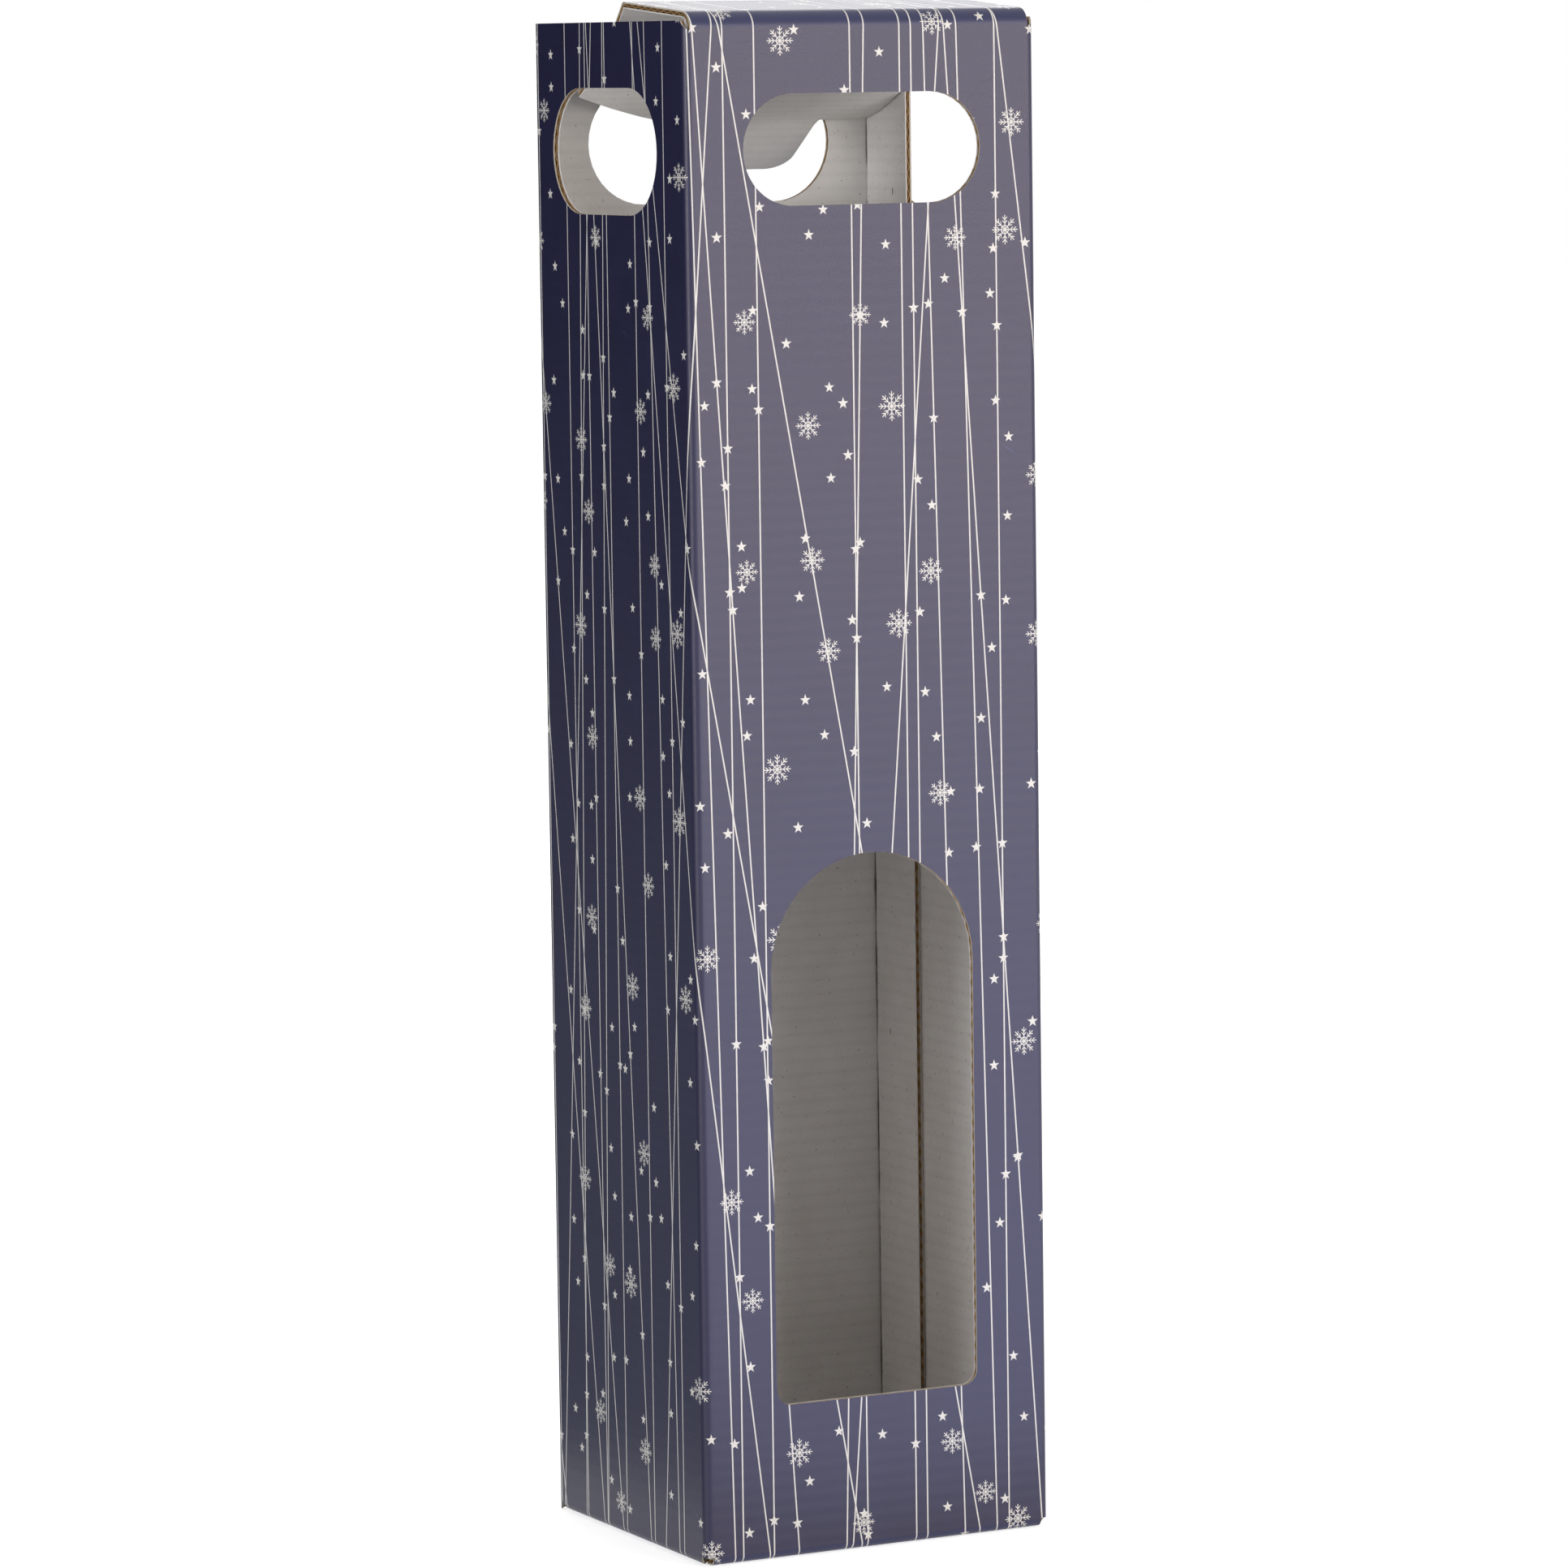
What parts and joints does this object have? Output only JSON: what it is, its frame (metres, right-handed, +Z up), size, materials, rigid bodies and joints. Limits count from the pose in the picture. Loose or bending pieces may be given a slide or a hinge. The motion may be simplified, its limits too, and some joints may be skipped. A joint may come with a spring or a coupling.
{
  "type": "wine gift box",
  "caption": "Tall folded corrugated carton for a single wine bottle, with an arched front window, round-ended hand holes, a hinged lid with a tuck tongue and a tuck-in base.",
  "frame": {"origin": "on the underside of the base panel, under the middle of the carton", "axes": "+Z up along the carton's height, the windowed front faces -Y, +X to the right seen from the front"},
  "size_m": [0.096, 0.1025, 0.3809],
  "materials": {
    "printed_paper": "dark blue litho print, sealed to a soft sheen",
    "brown_fluting": "unbleached brown corrugating paper",
    "white_liner": "uncoated grey-white paper",
    "dried_glue": "dried white packaging glue"
  },
  "bodies": {
    "carton": {"front_wall_printed_liner": "printed_paper", "front_wall_fluting": "brown_fluting", "front_wall_inner_liner": "white_liner", "right_wall_printed_liner": "printed_paper", "right_wall_fluting": "brown_fluting", "right_wall_inner_liner": "white_liner", "back_wall_printed_liner": "printed_paper", "back_wall_fluting": "brown_fluting", "back_wall_inner_liner": "white_liner", "left_wall_printed_liner": "printed_paper", "left_wall_fluting": "brown_fluting", "left_wall_inner_liner": "white_liner", "glue_flap_printed_liner": "printed_paper", "glue_flap_fluting": "brown_fluting", "glue_flap_inner_liner": "white_liner", "seam_glue": "dried_glue"},
    "lid_top": {"lid_top_printed_liner": "printed_paper", "lid_top_fluting": "brown_fluting", "lid_top_inner_liner": "white_liner"},
    "lid_flap": {"lid_flap_printed_liner": "printed_paper", "lid_flap_fluting": "brown_fluting", "lid_flap_inner_liner": "white_liner"},
    "base_panel": {"base_panel_printed_liner": "printed_paper", "base_panel_fluting": "brown_fluting", "base_panel_inner_liner": "white_liner"},
    "tuck_flap": {"tuck_flap_printed_liner": "printed_paper", "tuck_flap_fluting": "brown_fluting", "tuck_flap_inner_liner": "white_liner"},
    "dust_flap_left": {"dust_flap_left_printed_liner": "printed_paper", "dust_flap_left_fluting": "brown_fluting", "dust_flap_left_inner_liner": "white_liner"},
    "dust_flap_right": {"dust_flap_right_printed_liner": "printed_paper", "dust_flap_right_fluting": "brown_fluting", "dust_flap_right_inner_liner": "white_liner"}
  },
  "joints": [
    {"name": "lid_lift", "type": "hinge", "parent": "carton", "child": "lid_top", "pos_m": [0, -0.042, 0.378], "axis": [1, 0, 0], "range_deg": [0, 95]},
    {"name": "flap_fold", "type": "hinge", "parent": "lid_top", "child": "lid_flap", "pos_m": [0, -0.00549, 0.37927], "axis": [-1, 0, 0], "range_deg": [0, 133]},
    {"name": "base_open", "type": "hinge", "parent": "carton", "child": "base_panel", "pos_m": [0, -0.042, 0], "axis": [-1, 0, 0], "range_deg": [0, 85]},
    {"name": "tuck_fold", "type": "hinge", "parent": "base_panel", "child": "tuck_flap", "pos_m": [0, 0.0385, 0.0016], "axis": [1, 0, 0], "range_deg": [0, 85]},
    {"name": "dust_left_drop", "type": "hinge", "parent": "carton", "child": "dust_flap_left", "pos_m": [-0.048, 0, 0], "axis": [0, 1, 0], "range_deg": [0, 68]},
    {"name": "dust_right_drop", "type": "hinge", "parent": "carton", "child": "dust_flap_right", "pos_m": [0.048, 0, 0], "axis": [0, -1, 0], "range_deg": [0, 68]}
  ],
  "couplings": [
    {"joint": "flap_fold", "follows": "lid_lift", "ratio": 1.4},
    {"joint": "tuck_fold", "follows": "base_open", "ratio": 1},
    {"joint": "dust_left_drop", "follows": "base_open", "ratio": 0.8},
    {"joint": "dust_right_drop", "follows": "base_open", "ratio": 0.8}
  ]
}
